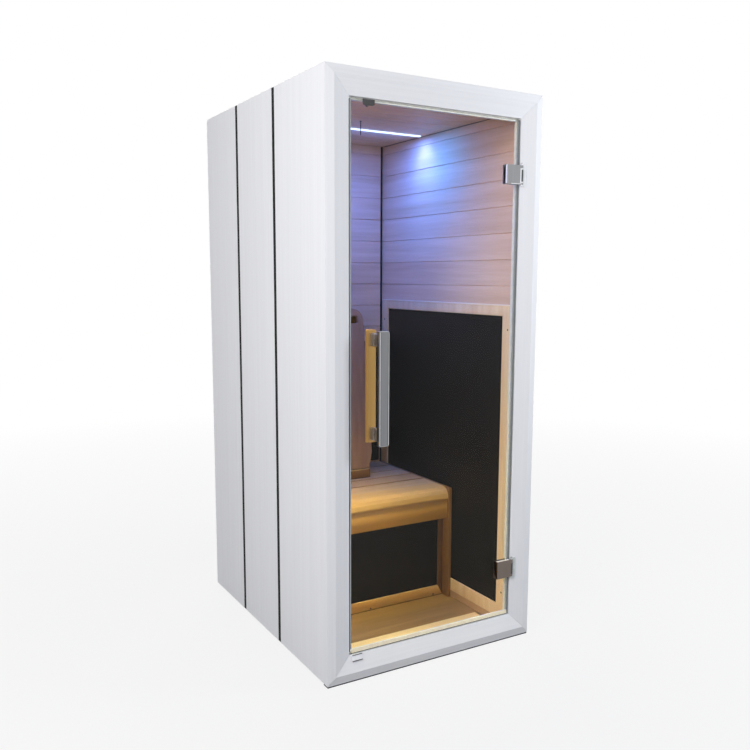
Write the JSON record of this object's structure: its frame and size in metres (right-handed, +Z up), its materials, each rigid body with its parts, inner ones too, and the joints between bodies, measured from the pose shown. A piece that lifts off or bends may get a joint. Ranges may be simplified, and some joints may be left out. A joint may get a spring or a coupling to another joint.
{
  "type": "infrared sauna cabin",
  "caption": "Upright cabin with white panelled walls, a hinged glass door, wood-lined room with dark heater panels, a bench and a loose backrest.",
  "frame": {"origin": "middle of the underside of the plinth, on the floor", "axes": "+Z up, +Y from the door to the rear wall, +X to the right for someone who faces the door"},
  "size_m": [0.84, 1.127, 1.957],
  "materials": {
    "white_wood": "white stained boards with a fine vertical grain, satin lacquer",
    "black_trim": "matt black strip",
    "lining_wood": "unfinished light softwood boards",
    "backrest_wood": "brown stained timber, satin",
    "heater_black": "black laminate over a carbon heating sheet",
    "door_glass": "clear tempered glass with polished edges",
    "seal": "soft pale grey sealing strip",
    "hinge_steel": "brushed steel",
    "hinge_white": "white powder coat",
    "chrome": "polished",
    "aluminium": "satin anodised",
    "dark_plastic": "dark grey moulded plastic",
    "button_grey": "grey moulded plastic",
    "light_diffuser": "white translucent diffuser",
    "unit_grey": "grey powder coat",
    "gland_black": "black moulded nylon"
  },
  "bodies": {
    "cabin": {"left_panel_rear": "white_wood", "left_panel_middle": "white_wood", "left_panel_front": "white_wood", "right_panel_rear": "white_wood", "right_panel_middle": "white_wood", "right_panel_front": "white_wood", "rear_panel": "white_wood", "roof_panel": "white_wood", "front_stile_left": "white_wood", "front_stile_right": "white_wood", "front_head": "white_wood", "front_sill": "white_wood", "base_plinth": "black_trim", "left_seam_rear": "black_trim", "left_seam_front": "black_trim", "right_seam_rear": "black_trim", "right_seam_front": "black_trim", "left_corner_strip": "black_trim", "right_corner_strip": "black_trim", "floor_panel": "lining_wood", "left_lining": "lining_wood", "right_lining": "lining_wood", "rear_lining": "lining_wood", "ceiling_lining": "lining_wood", "left_heater_trim": "lining_wood", "right_heater_trim": "lining_wood", "calf_heater_trim": "lining_wood", "bench_seat": "lining_wood", "bench_nosing": "lining_wood", "bench_apron": "lining_wood", "bench_gable_left": "lining_wood", "bench_gable_right": "lining_wood", "left_heater": "heater_black", "right_heater": "heater_black", "rear_heater": "heater_black", "calf_heater": "heater_black", "door_gasket": "seal", "top_hinge_bracket": "hinge_white", "bottom_hinge_bracket": "hinge_white", "top_hinge_pin": "chrome", "bottom_hinge_pin": "chrome", "sill_catch": "chrome", "temperature_probe": "dark_plastic", "control_panel": "dark_plastic", "ceiling_light": "light_diffuser", "power_unit": "unit_grey", "cable_gland": "gland_black"},
    "door": {"door_glass": "door_glass", "top_hinge_leaf": "hinge_steel", "bottom_hinge_leaf": "hinge_steel", "outer_handle": "aluminium", "inner_handle": "lining_wood", "top_standoff": "chrome", "bottom_standoff": "chrome", "top_catch": "dark_plastic"},
    "backrest": {"backrest_board": "backrest_wood", "backrest_stand": "backrest_wood"},
    "power_button": {"power_button": "button_grey"},
    "warmer_button": {"warmer_button": "button_grey"},
    "cooler_button": {"cooler_button": "button_grey"}
  },
  "joints": [
    {"name": "door_swing", "type": "hinge", "parent": "cabin", "child": "door", "pos_m": [0.338, -0.533, 0.982], "axis": [0, 0, 1], "range_deg": [0, 110]},
    {"name": "backrest_slide", "type": "slide", "parent": "cabin", "child": "backrest", "axis": [0, -1, 0], "range_m": [-0.03, 0.2]},
    {"name": "power_press", "type": "slide", "parent": "cabin", "child": "power_button", "axis": [-1, 0, 0], "range_m": [0, 0.0015], "stiffness_N_per_m": 400},
    {"name": "warmer_press", "type": "slide", "parent": "cabin", "child": "warmer_button", "axis": [-1, 0, 0], "range_m": [0, 0.0015], "stiffness_N_per_m": 400},
    {"name": "cooler_press", "type": "slide", "parent": "cabin", "child": "cooler_button", "axis": [-1, 0, 0], "range_m": [0, 0.0015], "stiffness_N_per_m": 400}
  ]
}
